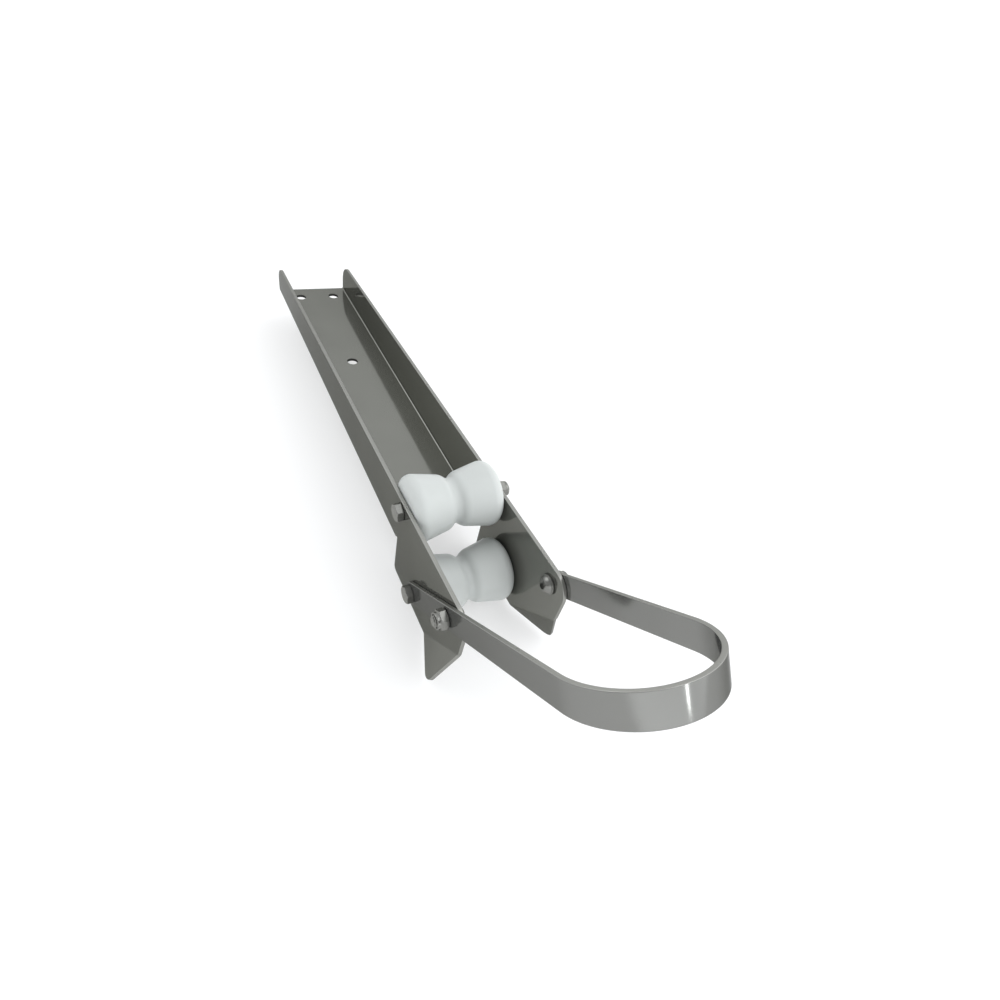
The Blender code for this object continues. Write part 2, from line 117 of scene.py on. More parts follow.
# Steel. MIRROR_SHARE of it is a mirror, the rest soft haze. GRAZING is its reflectance at grazing angles
# against a plain mirror's, and GRAZING_BLUE what is left of that in blue. Its lines run along the grain,
# where the numbers are smallest.
MIRROR_SHARE = 0.75
GRAZING = 0.20
GRAZING_BLUE = 0.95
CLOUD_SCALE = 22.0
CLOUD_SHADES = (0.93, 1.07)
WAVE_SCALE = 9.0
WAVE_STRENGTH = 0.35
WAVE_HEIGHT = 0.0008
LINE_STRENGTH = 0.06
LINE_HEIGHT = 0.0001
EVEN_GRAIN = (300, 300, 300)
STEELS = {
    "sheet_steel": {"grain": (12, 1500, 1500), "haze": 0.05},
    "bar_steel": {"grain": (40, 40, 1400), "haze": 0.06},
    # The bores' dark colour is painted shade, standing for the shade inside the holes.
    "bore_steel": {"grain": EVEN_GRAIN, "haze": 0.10},
    "edge_steel": {"grain": EVEN_GRAIN, "haze": 0.08},
    "fastener_steel": {"grain": EVEN_GRAIN, "haze": 0.05, "grazing": 0.65},
}

# Nylon. Turning leaves marks round the axis, which lower and raise the roughness by these steps. INNER_GLOW
# is the share of the light that goes inside, and GLOW_DEPTH how deep it goes, in metres.
NYLON_CLOUD_SCALE = 60.0
NYLON_SHADES = (0.975, 1.02)
TURNING_GRAIN = (60, 2600, 60)
SMOOTHER, ROUGHER = 0.05, 0.08
MARK_STRENGTH = 0.12
MARK_HEIGHT = 0.0001
INNER_GLOW = 0.8
GLOW_DEPTH = 0.008

# Studio. The floor lies just under the object. The surround is lightest at the horizon, and brighter still
# towards each glow, which fades out at its spread in degrees. One lamp puts a highlight on the bail.
FLOOR_REACH = 80
FLOOR_CENTRE = 0.25
FLOOR_CLEARANCE = 0.001
FLOOR_COLOUR = (0.96, 0.96, 0.96, 1)
SURROUND_COLOUR = (0.97, 0.985, 1.0, 1)
STUDIO_LEVEL = 0.45
HORIZON_GAIN = 0.55
HORIZON_HEIGHT = 0.5
GLOWS = (
    {"towards": (-0.55, 0.55, 0.62), "spread": 55, "gain": 0.61},
    {"towards": (-0.60, -0.45, 0.66), "spread": 32, "gain": 1.92},
    {"towards": (0.88, -0.15, 0.20), "spread": 55, "gain": 0.90},
    {"towards": (0.30, 0.90, 0.15), "spread": 50, "gain": 1.1},
    {"towards": (0.38, 0.46, 0.80), "spread": 34, "gain": 1.5},
    {"towards": (0.25, 0.10, 0.96), "spread": 40, "gain": 0.8},
)
HIGHLIGHT_STRIP = {
    "place": (1.9, 0.45, 0.75),
    "target": (0.35, 0, 0.03),
    "size": (0.05, 0.9),
    "strength": 16.0,
    "colour": (0.95, 0.98, 1.0),
}


def length(name, description, default):
    """A size in metres."""
    return FloatProperty(name=name, description=description, default=default, unit="LENGTH", precision=5)


def angle(name, description, degrees):
    """An angle, given in degrees."""
    default = math.radians(degrees)
    return FloatProperty(name=name, description=description, default=default, subtype="ANGLE")


def colour(name, description, default):
    """A colour of red, green and blue."""
    return FloatVectorProperty(name=name, description=description, default=default, subtype="COLOR")


def share(name, description, default):
    """A share from 0 to 1."""
    return FloatProperty(
        name=name, description=description, default=default, min=0, max=1, subtype="FACTOR"
    )


class ChannelSizes(bpy.types.PropertyGroup):
    """The folded sheet: floor, side walls and the cheeks in front of the floor."""

    sheet: length("Sheet", "Thickness of the sheet", 0.003)
    width: length("Width", "Outside width over the two walls", 0.080)
    inner_bend: length("Inner bend", "Inside radius between floor and walls", 0.0015)
    floor_length: length("Floor", "Length of the floor from its rear end", 0.411)
    wall_rear: length("Rear wall", "Height of the walls at the rear end", 0.034)
    rear_round: length("Rear round", "Radius of the walls' rear top corners", 0.020)
    front_round: length("Front round", "Radius of the walls' front top corners", 0.016)
    relief: length("Relief", "Width of the slot between floor and cheek", 0.004)
    cheek_length: length("Cheek", "Length of each cheek ahead of the slot", 0.115)
    cheek_rear_round: length("Cheek rear round", "Radius of the cheeks' lower rear corners", 0.005)
    cheek_tip_setback: length("Cheek tip setback", "How far the flared tips stand back from the front", 0.005)
    cheek_tip_round: length("Cheek tip round", "Radius of the flared tips", 0.010)
    flare_top_round: length("Flare top round", "Radius where the front edge starts to lean back", 0.012)
    flare_setback: length("Flare setback", "Distance of the flare's bend from the front end", 0.050)
    flare_rise: length("Flare rise", "Height that the flare's bend climbs to the front", 0.050)
    flare_angle: angle("Flare", "Turn of the flared corners outwards", 30)
    flare_bend: length("Flare bend", "Inside radius of the flare's bend", 0.003)
    screw_hole: length("Screw hole", "Diameter of the floor's screw holes", 0.0105)
    screw_spread: length("Screw spread", "Distance between the two rear screw holes", 0.039)
    centre_screw: length("Centre screw", "Distance of the third hole from the rear pair", 0.145)
    edge_round: length("Edge round", "Polished rounding of the sheet's edges", 0.0004)


class BailSizes(bpy.types.PropertyGroup):
    """The flat bar round the front."""

    width: length("Width", "Width of the flat bar", 0.018)
    thickness: length("Thickness", "Thickness of the flat bar", 0.003)
    slope: angle("Slope", "Rise of the bail towards the bow", 41)
    straight: length("Straight", "Length of each arm from the lower axle to the bend", 0.200)
    edge_round: length("Edge round", "Polished rounding of the bar's edges", 0.0005)


class RollerSizes(bpy.types.PropertyGroup):
    """The two waisted rollers and the tubes that they turn on."""

    rim: length("Rim", "Radius of the cones where they would meet the ends", 0.02828)
    rim_round: length("Rim round", "Rounding at both ends", 0.008)
    shoulder: length("Shoulder", "Radius at the edges of the groove", 0.0218)
    shoulder_round: length("Shoulder round", "Rounding of the groove's edges", 0.010)
    groove: length("Groove", "Radius at the bottom of the groove before rounding", 0.016)
    groove_half_width: length("Groove half width", "Half the width of the groove", 0.006)
    groove_round: length("Groove round", "Rounding at the bottom of the groove", 0.005)
    bore: length("Bore", "Radius of the bore", 0.0064)
    bore_chamfer: length("Bore chamfer", "Chamfer at the bore's ends", 0.0006)
    tube: length("Tube", "Outside radius of the spacer tube", 0.006)
    tube_chamfer: length("Tube chamfer", "Chamfer at the tube's ends", 0.00034)


class FastenerSizes(bpy.types.PropertyGroup):
    """M8 bolts, washers and lock nuts."""

    radius: length("Bolt", "Radius of the bolts", 0.004)
    hole: length("Hole", "Radius of the holes that they pass", 0.0043)
    pitch: length("Pitch", "Pitch of the thread", 0.00125)
    thread_depth: length("Thread depth", "Depth of the thread", 0.0007)
    thread_length: length("Thread length", "Length of thread on the axle bolts", 0.022)
    across_flats: length("Across flats", "Size of the hexagons", 0.013)
    top_radius: length("Top radius", "Radius of the circle that the chamfer leaves", 0.0062)
    head: length("Head", "Height of the hexagon heads", 0.0053)
    washer: length("Washer", "Radius of the washers", 0.008)
    washer_round: length("Washer round", "Rounding of the washers' edges", 0.0004)
    nut_hexagon: length("Nut hexagon", "Height of a lock nut's hexagon", 0.0055)
    nut: length("Nut", "Height of a lock nut with its collar", 0.008)
    collar: length("Collar", "Outside radius of the collar", 0.006)
    collar_wall: length("Collar wall", "Thickness of the collar", 0.0006)
    ring: length("Locking ring", "Height of the nylon ring", 0.0018)
    ring_room: length("Ring room", "Room between the nylon ring and the bolt", 0.00005)
    dome: length("Dome", "Radius of the domed heads", 0.007)
    dome_height: length("Dome height", "Height of the domed heads", 0.0044)
    socket: length("Socket", "Size across the flats of the sockets", 0.005)
    socket_depth: length("Socket depth", "Depth of the sockets", 0.0026)
    gap: length("Gap", "Room between pieces that seat on each other", 0.0003)


class Finishes(bpy.types.PropertyGroup):
    """Colours and gloss."""

    sheet_colour: colour("Sheet", "Polished stainless sheet", (0.235, 0.237, 0.217))
    sheet_roughness: share("Sheet roughness", "Blur of the sheet's reflections", 0.07)
    bar_colour: colour("Bar", "Polished flat bar", (0.229, 0.230, 0.220))
    bar_roughness: share("Bar roughness", "Blur of the bar's reflections", 0.08)
    edge_colour: colour("Edges", "Ground edges of the sheet and the bar", (0.32, 0.32, 0.30))
    edge_roughness: share("Edge roughness", "Blur of the edges' reflections", 0.24)
    # The bores are rougher for being unpolished, and their dark colour is painted shade inside the holes.
    bore_colour: colour("Bores", "Drilled and unpolished holes", (0.05, 0.05, 0.047))
    bore_roughness: share("Bore roughness", "Blur of the bores' reflections", 0.45)
    fastener_colour: colour("Fasteners", "Plain stainless fasteners", (0.225, 0.225, 0.212))
    fastener_roughness: share("Fastener roughness", "Blur of the fasteners' reflections", 0.20)
    nylon_colour: colour("Nylon", "White nylon of the rollers", (0.525, 0.545, 0.532))
    nylon_roughness: share("Nylon roughness", "Sheen of the rollers", 0.42)


class StageSettings(bpy.types.PropertyGroup):
    """The camera and the floor."""

    camera_place: FloatVectorProperty(
        name="Camera place", description="Where the camera stands",
        default=(0.651656, -0.155706, 0.342237), subtype="TRANSLATION",
    )
    camera_turn: FloatVectorProperty(
        name="Camera turn", description="How the camera is turned",
        default=[math.radians(turn) for turn in (44.6173, -11.3802, 62.5718)], subtype="EULER",
    )
    lens: FloatProperty(
        name="Lens", description="Focal length in millimetres", default=19.53, unit="CAMERA"
    )
    floor_white: share("Floor white", "How far the floor shows plain white", 0.45)


class BowRoller(bpy.types.PropertyGroup):
    """Everything that can be set."""

    channel: PointerProperty(type=ChannelSizes)
    bail: PointerProperty(type=BailSizes)
    rollers: PointerProperty(type=RollerSizes)
    fasteners: PointerProperty(type=FastenerSizes)
    finishes: PointerProperty(type=Finishes)
    stage: PointerProperty(type=StageSettings)


def settings():
    """The sizes and finishes that the panel shows."""
    return bpy.context.scene.bow_roller


# Outlines, plates and turned shapes


def rounded(corners):
    """The points of a closed outline from its corners (x, y, radius), each round corner as an arc."""
    points = []
    for index, (x, y, radius) in enumerate(corners):
        corner = Vector((x, y))
        if not radius:
            points.append(corner)
            continue
        before = (Vector(corners[index - 1][:2]) - corner).normalized()
        after = (Vector(corners[(index + 1) % len(corners)][:2]) - corner).normalized()
        half = before.angle(after) / 2
        centre = corner + (before + after).normalized() * radius / math.sin(half)
        start = corner + before * radius / math.tan(half) - centre
        turn = start.angle_signed(corner + after * radius / math.tan(half) - centre)
        steps = max(2, round(abs(turn) / ARC_STEP))
        for step in range(steps + 1):
            points.append(centre + Matrix.Rotation(-turn * step / steps, 2) @ start)
    return [point for index, point in enumerate(points) if (point - points[index - 1]).length > MERGE]


def plate(outline, thickness, edge_round):
    """A flat plate on z = 0 with softly rounded edges, as a bmesh."""
    shape = bmesh.new()
    face = shape.faces.new([shape.verts.new((point.x, point.y, 0)) for point in outline])
    raised = bmesh.ops.extrude_face_region(shape, geom=[face])["geom"]
    lifted = [item for item in raised if isinstance(item, bmesh.types.BMVert)]
    bmesh.ops.translate(shape, verts=lifted, vec=(0, 0, thickness))
    bmesh.ops.recalc_face_normals(shape, faces=shape.faces)
    rims = [edge for edge in shape.edges if abs(edge.verts[0].co.z - edge.verts[1].co.z) < MERGE]
    bmesh.ops.bevel(
        shape, geom=rims, offset=edge_round, segments=EDGE_SEGMENTS, profile=0.5, affect="EDGES"
    )
    for side in shape.faces:
        side.normal_update()
        side.material_index = EDGE_FACES if abs(side.normal.z) < NEARLY_LEVEL else 0
    return shape


def crease(shape, point, normal):
    """Cuts a line of edges through a plate, so that it can bend there."""
    everything = shape.verts[:] + shape.edges[:] + shape.faces[:]
    bmesh.ops.bisect_plane(shape, geom=everything, plane_co=point, plane_no=normal, dist=MERGE)


def piece(name, shape, *finishes):
    """An object from a bmesh, with smooth faces and its finishes in the faces' own order."""
    bmesh.ops.recalc_face_normals(shape, faces=shape.faces)
    mesh = bpy.data.meshes.new(name)
    shape.to_mesh(mesh)
    shape.free()
    for finish in finishes:
        mesh.materials.append(finish_named(finish))
    mesh.shade_smooth()
    mesh.set_sharp_from_angle(angle=CRISP_ANGLE)
    item = bpy.data.objects.new(name, mesh)
    bpy.context.scene.collection.objects.link(item)
    return item


def even_shading(item):
    """Keeps large flat faces flat where they meet rounded edges."""
    modifier = item.modifiers.new("even_shading", "WEIGHTED_NORMAL")
    modifier.keep_sharp = True


def join_rings(shape, low, high):
    """Faces from one ring of points to the next, triangles where a ring is a single point."""
    faces = []
    for column in range(len(low)):
        following = (column + 1) % len(low)
        corners = (low[column], low[following], high[following], high[column])
        faces.append(shape.faces.new(dict.fromkeys(corners)))
    return faces


def drill(shape, start, end, radius, soften):
    """Adds a drill from one face of the metal to the other, flared to soften the edges of its mouths."""
    along = (end - start).normalized()
    upright = along.to_track_quat("Z", "Y").to_matrix()
    depth = (end - start).length
    stations = ((-soften, 2 * soften), (soften, 0), (depth - soften, 0), (depth + soften, 2 * soften))
    rings = []
    for travel, wider in stations:
        centre = start + along * travel
        ring = []
        for column in range(HOLE_FACETS):
            turn = math.tau * column / HOLE_FACETS
            spoke = Vector((math.cos(turn), math.sin(turn), 0))
            ring.append(shape.verts.new(centre + upright @ spoke * (radius + wider)))
        rings.append(ring)
    for low, high in zip(rings, rings[1:]):
        # The bore's walls take finish 2, whose dark colour is painted shade.
        for face in join_rings(shape, low, high):
            face.material_index = BORE_FACES
    shape.faces.new(rings[0])
    shape.faces.new(rings[-1])


def drilled(item, drills):
    """Cuts all the drills out of a piece at once."""
    cutter = piece(item.name + "_drills", drills, *(finish.name for finish in item.data.materials))
    modifier = item.modifiers.new("holes", "BOOLEAN")
    modifier.operation = "DIFFERENCE"
    modifier.solver = "EXACT"
    modifier.object = cutter
    graph = bpy.context.evaluated_depsgraph_get()
    mesh = bpy.data.meshes.new_from_object(item.evaluated_get(graph))
    mesh.set_sharp_from_angle(angle=CRISP_ANGLE)
    item.modifiers.clear()
    item.data = mesh
    bpy.data.objects.remove(cutter)


def at(value, turn):
    """A row's height or radius at this angle, where it may be a number or a rule."""
    return value(turn) if callable(value) else value


def turned(name, rows, finish="fastener_steel", columns=FASTENER_COLUMNS, hollow=False):
    """A piece turned about its own Y axis from rows of (y, radius), closed into a ring if hollow."""
    shape = bmesh.new()
    rings = []
    for y, radius in rows:
        if radius == 0:
            rings.append([shape.verts.new((0, y, 0))] * columns)
            continue
        ring = []
        for column in range(columns):
            turn = math.tau * column / columns
            reach = at(radius, turn)
            ring.append(shape.verts.new((reach * math.cos(turn), at(y, turn), reach * math.sin(turn))))
        rings.append(ring)
    pairs = list(zip(rings, rings[1:]))
    if hollow:
        pairs.append((rings[-1], rings[0]))
    for low, high in pairs:
        join_rings(shape, low, high)
    return piece(name, shape, finish)


def arc_rows(y, radius, size, start, end, steps):
    """Rows along an arc of a turned profile, between two angles in degrees from outwards towards +Y."""
    for step in range(steps + 1):
        turn = math.radians(start + (end - start) * step / steps)
        yield y + size * math.sin(turn), radius + size * math.cos(turn)


# Materials


def add(tree, kind, inputs=None, **values):
    """A shader node with its settings, and its inputs as numbers or links."""
    node = tree.nodes.new("ShaderNode" + kind)
    for name, value in values.items():
        setattr(node, name, value)
    for socket, value in (inputs or {}).items():
        if isinstance(value, bpy.types.NodeSocket):
            tree.links.new(value, node.inputs[socket])
        else:
            node.inputs[socket].default_value = value
    return node


def blank_material(name, colour, metallic):
    """A material with its shader, and the place on the piece that its patterns follow."""
    finish = bpy.data.materials.new(name)
    finish.use_nodes = True
    finish.diffuse_color = (*colour, 1)
    tree = finish.node_tree
    shader = tree.nodes["Principled BSDF"]
    shader.inputs["Metallic"].default_value = metallic
    place = add(tree, "TexCoord").outputs["Object"]
    return finish, tree, shader, place


def noise(tree, place, scale, stretch=(1, 1, 1), detail=3.0):
    """Soft noise between 0 and 1, whose grain is stretched along some axes."""
    scaled = add(tree, "VectorMath", {0: place, 1: stretch}, operation="MULTIPLY")
    made = add(tree, "TexNoise", {"Vector": scaled.outputs[0], "Scale": scale, "Detail": detail})
    return made.outputs["Fac"]


def between(tree, value, low, high, start=0.3, end=0.7, interpolation="LINEAR"):
    """Spreads a pattern over a range of numbers."""
    inputs = {"Value": value, "From Min": start, "From Max": end, "To Min": low, "To Max": high}
    return add(tree, "MapRange", inputs, interpolation_type=interpolation).outputs["Result"]


def total(tree, first, second):
    """The sum of two values."""
    return add(tree, "Math", {0: first, 1: second}, operation="ADD").outputs[0]


def tinted(tree, value, colour, shades):
    """The colour, darker and lighter with a pattern."""
    dark, light = ((*(channel * shade for channel in colour), 1) for shade in shades)
    mixed = add(tree, "Mix", data_type="RGBA")
    factor, first, second = (mixed.inputs[index] for index in (0, 6, 7))
    tree.links.new(value, factor)
    first.default_value = dark
    second.default_value = light
    return mixed.outputs[2]


def bumpy(tree, height, strength, distance, below=None):
    """A surface raised by a pattern, on top of another such surface if there is one."""
    inputs = {"Height": height, "Strength": strength, "Distance": distance}
    if below:
        inputs["Normal"] = below
    return add(tree, "Bump", inputs).outputs[0]


def steel(name, colour, roughness, grain, haze, grazing=GRAZING):
    """Polished stainless: faint lines along the grain, cloudy haze and a slightly wavy surface."""
    finish, tree, shader, place = blank_material(name, colour, MIRROR_SHARE)
    lines = noise(tree, place, 1.0, grain, detail=2.0)
    clouds = noise(tree, place, CLOUD_SCALE)
    waves = noise(tree, place, WAVE_SCALE, detail=1.0)
    shader.inputs["Specular Tint"].default_value = (grazing, grazing, GRAZING_BLUE * grazing, 1)
    tree.links.new(tinted(tree, clouds, colour, CLOUD_SHADES), shader.inputs["Base Color"])
    blur = total(tree, between(tree, lines, 0, haze / 2), between(tree, clouds, 0, haze))
    tree.links.new(total(tree, blur, roughness), shader.inputs["Roughness"])
    wavy = bumpy(tree, waves, WAVE_STRENGTH, WAVE_HEIGHT)
    lined = bumpy(tree, lines, LINE_STRENGTH, LINE_HEIGHT, wavy)
    tree.links.new(lined, shader.inputs["Normal"])
    return finish


def nylon(name, colour, roughness):
    """White nylon with faint turning marks and a cloudy surface."""
    finish, tree, shader, place = blank_material(name, colour, 0.0)
    clouds = noise(tree, place, NYLON_CLOUD_SCALE)
    marks = noise(tree, place, 1.0, TURNING_GRAIN, detail=2.0)
    tree.links.new(tinted(tree, clouds, colour, NYLON_SHADES), shader.inputs["Base Color"])
    blur = between(tree, marks, roughness - SMOOTHER, roughness + ROUGHER)
    tree.links.new(blur, shader.inputs["Roughness"])
    tree.links.new(bumpy(tree, marks, MARK_STRENGTH, MARK_HEIGHT), shader.inputs["Normal"])
    shader.inputs["Subsurface Weight"].default_value = INNER_GLOW
    shader.inputs["Subsurface Scale"].default_value = GLOW_DEPTH
    shader.inputs["Subsurface Radius"].default_value = (1, 1, 1)
    return finish


def finish_named(name):
    """The material of this name, made when it is first needed."""
    if name in bpy.data.materials:
        return bpy.data.materials[name]
    look = settings().finishes
    if name not in STEELS:
        return nylon(name, look.nylon_colour, look.nylon_roughness)
    kind = name.removesuffix("_steel")
    return steel(name, getattr(look, kind + "_colour"), getattr(look, kind + "_roughness"), **STEELS[name])


def settled(item, node, body="frame"):
    """Puts a piece on its body and lets it stand for a solid."""
    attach(item, body)
    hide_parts(node)


# Channel


class ChannelFold:
    """Where each point of the flat blank lies in the folded channel."""

    def __init__(self, sizes):
        self.sizes = sizes
        neutral = NEUTRAL_LAYER * sizes.sheet
        self.outer_bend = sizes.inner_bend + sizes.sheet
        self.half_width = sizes.width / 2
        self.floor_half = self.half_width - self.outer_bend
        self.bend_radius = sizes.inner_bend + neutral
        self.bend_length = self.bend_radius * math.pi / 2
        self.floor_front = REAR_END + sizes.floor_length
        self.cheek_rear = self.floor_front + sizes.relief
        self.front = self.cheek_rear + sizes.cheek_length
        self.flare_radius = sizes.flare_bend + neutral
        self.flare_length = self.flare_radius * sizes.flare_angle
        self.flare_start = Vector((self.front - sizes.flare_setback, -CHEEK_DEPTH))
        self.flare_line = Vector((sizes.flare_setback, sizes.flare_rise)).normalized()
        self.flare_outward = Vector((self.flare_line.y, -self.flare_line.x))

    def across(self, height):
        """How far from the blank's centre line a point of the wall at this height lies."""
        return self.floor_half + self.bend_length + height - self.outer_bend

    def outline(self):
        """The whole blank's corners, the port half and then its mirror image."""
        sizes = self.sizes
        relief_top = self.across(self.outer_bend) + sizes.relief / 2
        half = [
            (REAR_END, self.across(sizes.wall_rear), sizes.rear_round),
            (self.front, self.across(WALL_FRONT_HEIGHT), sizes.front_round),
            (self.front, self.across(sizes.flare_rise - CHEEK_DEPTH), sizes.flare_top_round),
            (self.front - sizes.cheek_tip_setback, self.across(-CHEEK_DEPTH), sizes.cheek_tip_round),
            (self.cheek_rear, self.across(-CHEEK_DEPTH), sizes.cheek_rear_round),
            (self.cheek_rear, relief_top, sizes.relief / 2),
            (self.floor_front, relief_top, sizes.relief / 2),
        ]
        return rounded(half + [(x, -y, radius) for x, y, radius in reversed(half)])

    def creases(self):
        """A point and a normal in the blank for each line that it bends along, port half only."""
        for step in range(BEND_FACETS + 1):
            across = self.floor_half + self.bend_length * step / BEND_FACETS
            yield Vector((0, across, 0)), Vector((0, 1, 0))
        start = Vector((self.flare_start.x, self.across(self.flare_start.y), 0))
        outward = Vector((self.flare_outward.x, self.flare_outward.y, 0))
        for step in range(FLARE_FACETS + 1):
            yield start + outward * self.flare_length * step / FLARE_FACETS, outward

    def place(self, flat):
        """The folded place of a point of the blank: on the floor, in a bend, on a wall or on a flare."""
        x, across, depth = flat
        side = math.copysign(1, across)
        past_bend = abs(across) - self.floor_half - self.bend_length
        if x < self.floor_front + self.sizes.relief / 2 and past_bend < 0:
            if abs(across) < self.floor_half:
                return Vector((x, across, depth))
            turn = (abs(across) - self.floor_half) / self.bend_radius
            radius = self.outer_bend - depth
            out = self.floor_half + radius * math.sin(turn)
            return Vector((x, side * out, self.outer_bend - radius * math.cos(turn)))
        height = self.outer_bend + past_bend
        in_wall = Vector((x, height)) - self.flare_start
        past_flare = in_wall.dot(self.flare_outward)
        if past_flare <= 0:
            return Vector((x, side * (self.half_width - depth), height))
        turn = min(past_flare / self.flare_radius, self.sizes.flare_angle)
        radius = self.sizes.flare_bend + depth
        straight = max(0, past_flare - self.flare_length)
        drop = radius * math.sin(turn) + straight * math.cos(turn)
        spread = self.sizes.flare_bend - radius * math.cos(turn) + straight * math.sin(turn)
        along_bend = self.flare_line * in_wall.dot(self.flare_line)
        foot = self.flare_start + along_bend + self.flare_outward * drop
        return Vector((foot.x, side * (self.half_width + spread), foot.y))


class OBJECT_OT_bow_roller_channel(bpy.types.Operator):
    """Folds the channel from its blank and drills it"""

    bl_idname = "object.bow_roller_channel"
    bl_label = "Channel"

    def execute(self, context):
        sizes = settings().channel
        hole = settings().fasteners.hole
        fold = ChannelFold(sizes)
        blank = plate(fold.outline(), sizes.sheet, sizes.edge_round)
        mirror = Vector((1, -1, 1))
        for point, normal in fold.creases():
            crease(blank, point, normal)
            crease(blank, point * mirror, normal * mirror)
        for vertex in blank.verts:
            vertex.co = fold.place(vertex.co)
        channel = piece("folded_channel", blank, "sheet_steel", "edge_steel", "bore_steel")
        drills = bmesh.new()
        soften = sizes.edge_round
        for x, y in ((0, sizes.screw_spread / 2), (0, -sizes.screw_spread / 2), (sizes.centre_screw, 0)):
            drill(drills, Vector((x, y, 0)), Vector((x, y, sizes.sheet)), sizes.screw_hole / 2, soften)
        for axis in (UPPER_AXLE, LOWER_AXLE, BAIL_BOLT):
            for side in (-1, 1):
                inside = Vector((axis.x, side * (fold.half_width - sizes.sheet), axis.z))
                outside = Vector((axis.x, side * fold.half_width, axis.z))
                drill(drills, inside, outside, hole, soften)
        drilled(channel, drills)
        even_shading(channel)
        settled(channel, "channel")
        return {"FINISHED"}


# Bail


class OBJECT_OT_bow_roller_bail(bpy.types.Operator):
    """Wraps the flat bar round the front and drills its arms"""

    bl_idname = "object.bow_roller_bail"
    bl_label = "Bail"

    def execute(self, context):
        sizes = settings().bail
        half = sizes.width / 2
        inside = BAIL_OUTSIDE - sizes.thickness
        middle = inside + sizes.thickness / 2
        quarter = middle * math.pi / 2
        end = quarter + sizes.straight + half
        forward = Vector((math.cos(sizes.slope), 0, math.sin(sizes.slope)))
        upward = Vector((-math.sin(sizes.slope), 0, math.cos(sizes.slope)))
        corners = ((-end, -half), (end, -half), (end, half), (-end, half))
        bar = plate(rounded([(*corner, half) for corner in corners]), sizes.thickness, sizes.edge_round)
        for step in range(WRAP_FACETS + 1):
            crease(bar, Vector((quarter * (2 * step / WRAP_FACETS - 1), 0, 0)), Vector((1, 0, 0)))
        for vertex in bar.verts:
            along, width, depth = vertex.co
            turn = max(-quarter, min(quarter, along)) / middle
            radius = inside + depth
            reach = sizes.straight - max(0, abs(along) - quarter) + radius * math.cos(turn)
            place = LOWER_AXLE + forward * reach + upward * width
            vertex.co = Vector((place.x, radius * math.sin(turn), place.z))
        bail = piece("bent_bail", bar, "bar_steel", "edge_steel", "bore_steel")
        drills = bmesh.new()
        for axis in (LOWER_AXLE, BAIL_BOLT):
            for side in (-1, 1):
                start = Vector((axis.x, side * inside, axis.z))
                stop = Vector((axis.x, side * BAIL_OUTSIDE, axis.z))
                drill(drills, start, stop, settings().fasteners.hole, sizes.edge_round)
        drilled(bail, drills)
        even_shading(bail)
        settled(bail, "bail")
        return {"FINISHED"}


# Rollers and the tubes they turn on


class OBJECT_OT_bow_roller_rollers(bpy.types.Operator):
    """Turns the two waisted rollers"""

    bl_idname = "object.bow_roller_rollers"
    bl_label = "Rollers"

    def execute(self, context):
        sizes = settings().rollers
        half, chamfer = ROLLER_HALF_LENGTH, sizes.bore_chamfer
        corners = [
            (half - chamfer, sizes.bore, 0),
            (half, sizes.bore + chamfer, 0),
            (half, sizes.rim, sizes.rim_round),
            (sizes.groove_half_width, sizes.shoulder, sizes.shoulder_round),
            (0, sizes.groove, sizes.groove_round),
            (-sizes.groove_half_width, sizes.shoulder, sizes.shoulder_round),
            (-half, sizes.rim, sizes.rim_round),
            (-half, sizes.bore + chamfer, 0),
            (chamfer - half, sizes.bore, 0),
        ]
        for name, axle in AXLES.items():
            rows = [(point.x, point.y) for point in rounded(corners)]
            roller = turned("turned_" + name, rows, "roller_white_nylon", ROLLER_COLUMNS, hollow=True)
            roller.location = axle
            even_shading(roller)
            settled(roller, name, body=name)
        return {"FINISHED"}


class OBJECT_OT_bow_roller_tubes(bpy.types.Operator):
    """Makes the spacer tubes inside the rollers"""

    bl_idname = "object.bow_roller_tubes"
    bl_label = "Spacer tubes"

    def execute(self, context):
        sizes = settings().rollers
        outer, inner, chamfer = sizes.tube, settings().fasteners.hole, sizes.tube_chamfer
        for name, axle in (("upper", UPPER_AXLE), ("lower", LOWER_AXLE)):
            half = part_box(name + "_sleeve")[1].y
            rows = []
            for end in (half, -half):
                inset = end + math.copysign(chamfer, -end)
                end_rows = [(inset, inner), (end, inner + chamfer), (end, outer - chamfer), (inset, outer)]
                rows += end_rows if end > 0 else reversed(end_rows)
            tube = turned(name + "_spacer_tube", rows, hollow=True)
            tube.location = axle
            settled(tube, name + "_sleeve")
        return {"FINISHED"}


# Fasteners


def hexagon(across_flats):
    """The radius at each angle of a hexagon that stands square with the bail."""
    corner = settings().bail.slope
    return lambda turn: across_flats / 2 / math.cos((turn - corner) % (math.pi / 3) - math.pi / 6)


def chamfered(across_flats, top_radius, y, inward):
    """Rows of a hexagon's chamfer, from its flat end at y to where the full hexagon is left."""
    full = hexagon(across_flats)
    depth = (across_flats / math.sqrt(3) - top_radius) * CHAMFER_SLOPE
    for step in range(CHAMFER_ROWS + 1):
        reach = top_radius + depth * step / CHAMFER_ROWS / CHAMFER_SLOPE
        yield y + inward * depth * step / CHAMFER_ROWS, lambda turn, reach=reach: min(full(turn), reach)


def threaded(bolt, side, start, end):
    """Rows of a helical thread to the bolt's end, whose first turn fades in and whose tip is chamfered."""
    count = math.ceil((end - start) / bolt.pitch * THREAD_ROWS)
    for step in range(count + 1):
        y = start + (end - start) * step / count
        fade = min(1, (y - start) / bolt.pitch)
        tip = bolt.radius - max(0, bolt.thread_depth - (end - y))

        def radius(turn, y=y, fade=fade, tip=tip):
            phase = (y / bolt.pitch - side * turn / math.tau) % 1
            groove = min(1, max(0, FLANK_STEEPNESS * abs(2 * phase - 1) - CREST_CUT))
            return min(tip, bolt.radius - bolt.thread_depth * fade * groove)

        yield side * y, radius
    yield side * end, 0


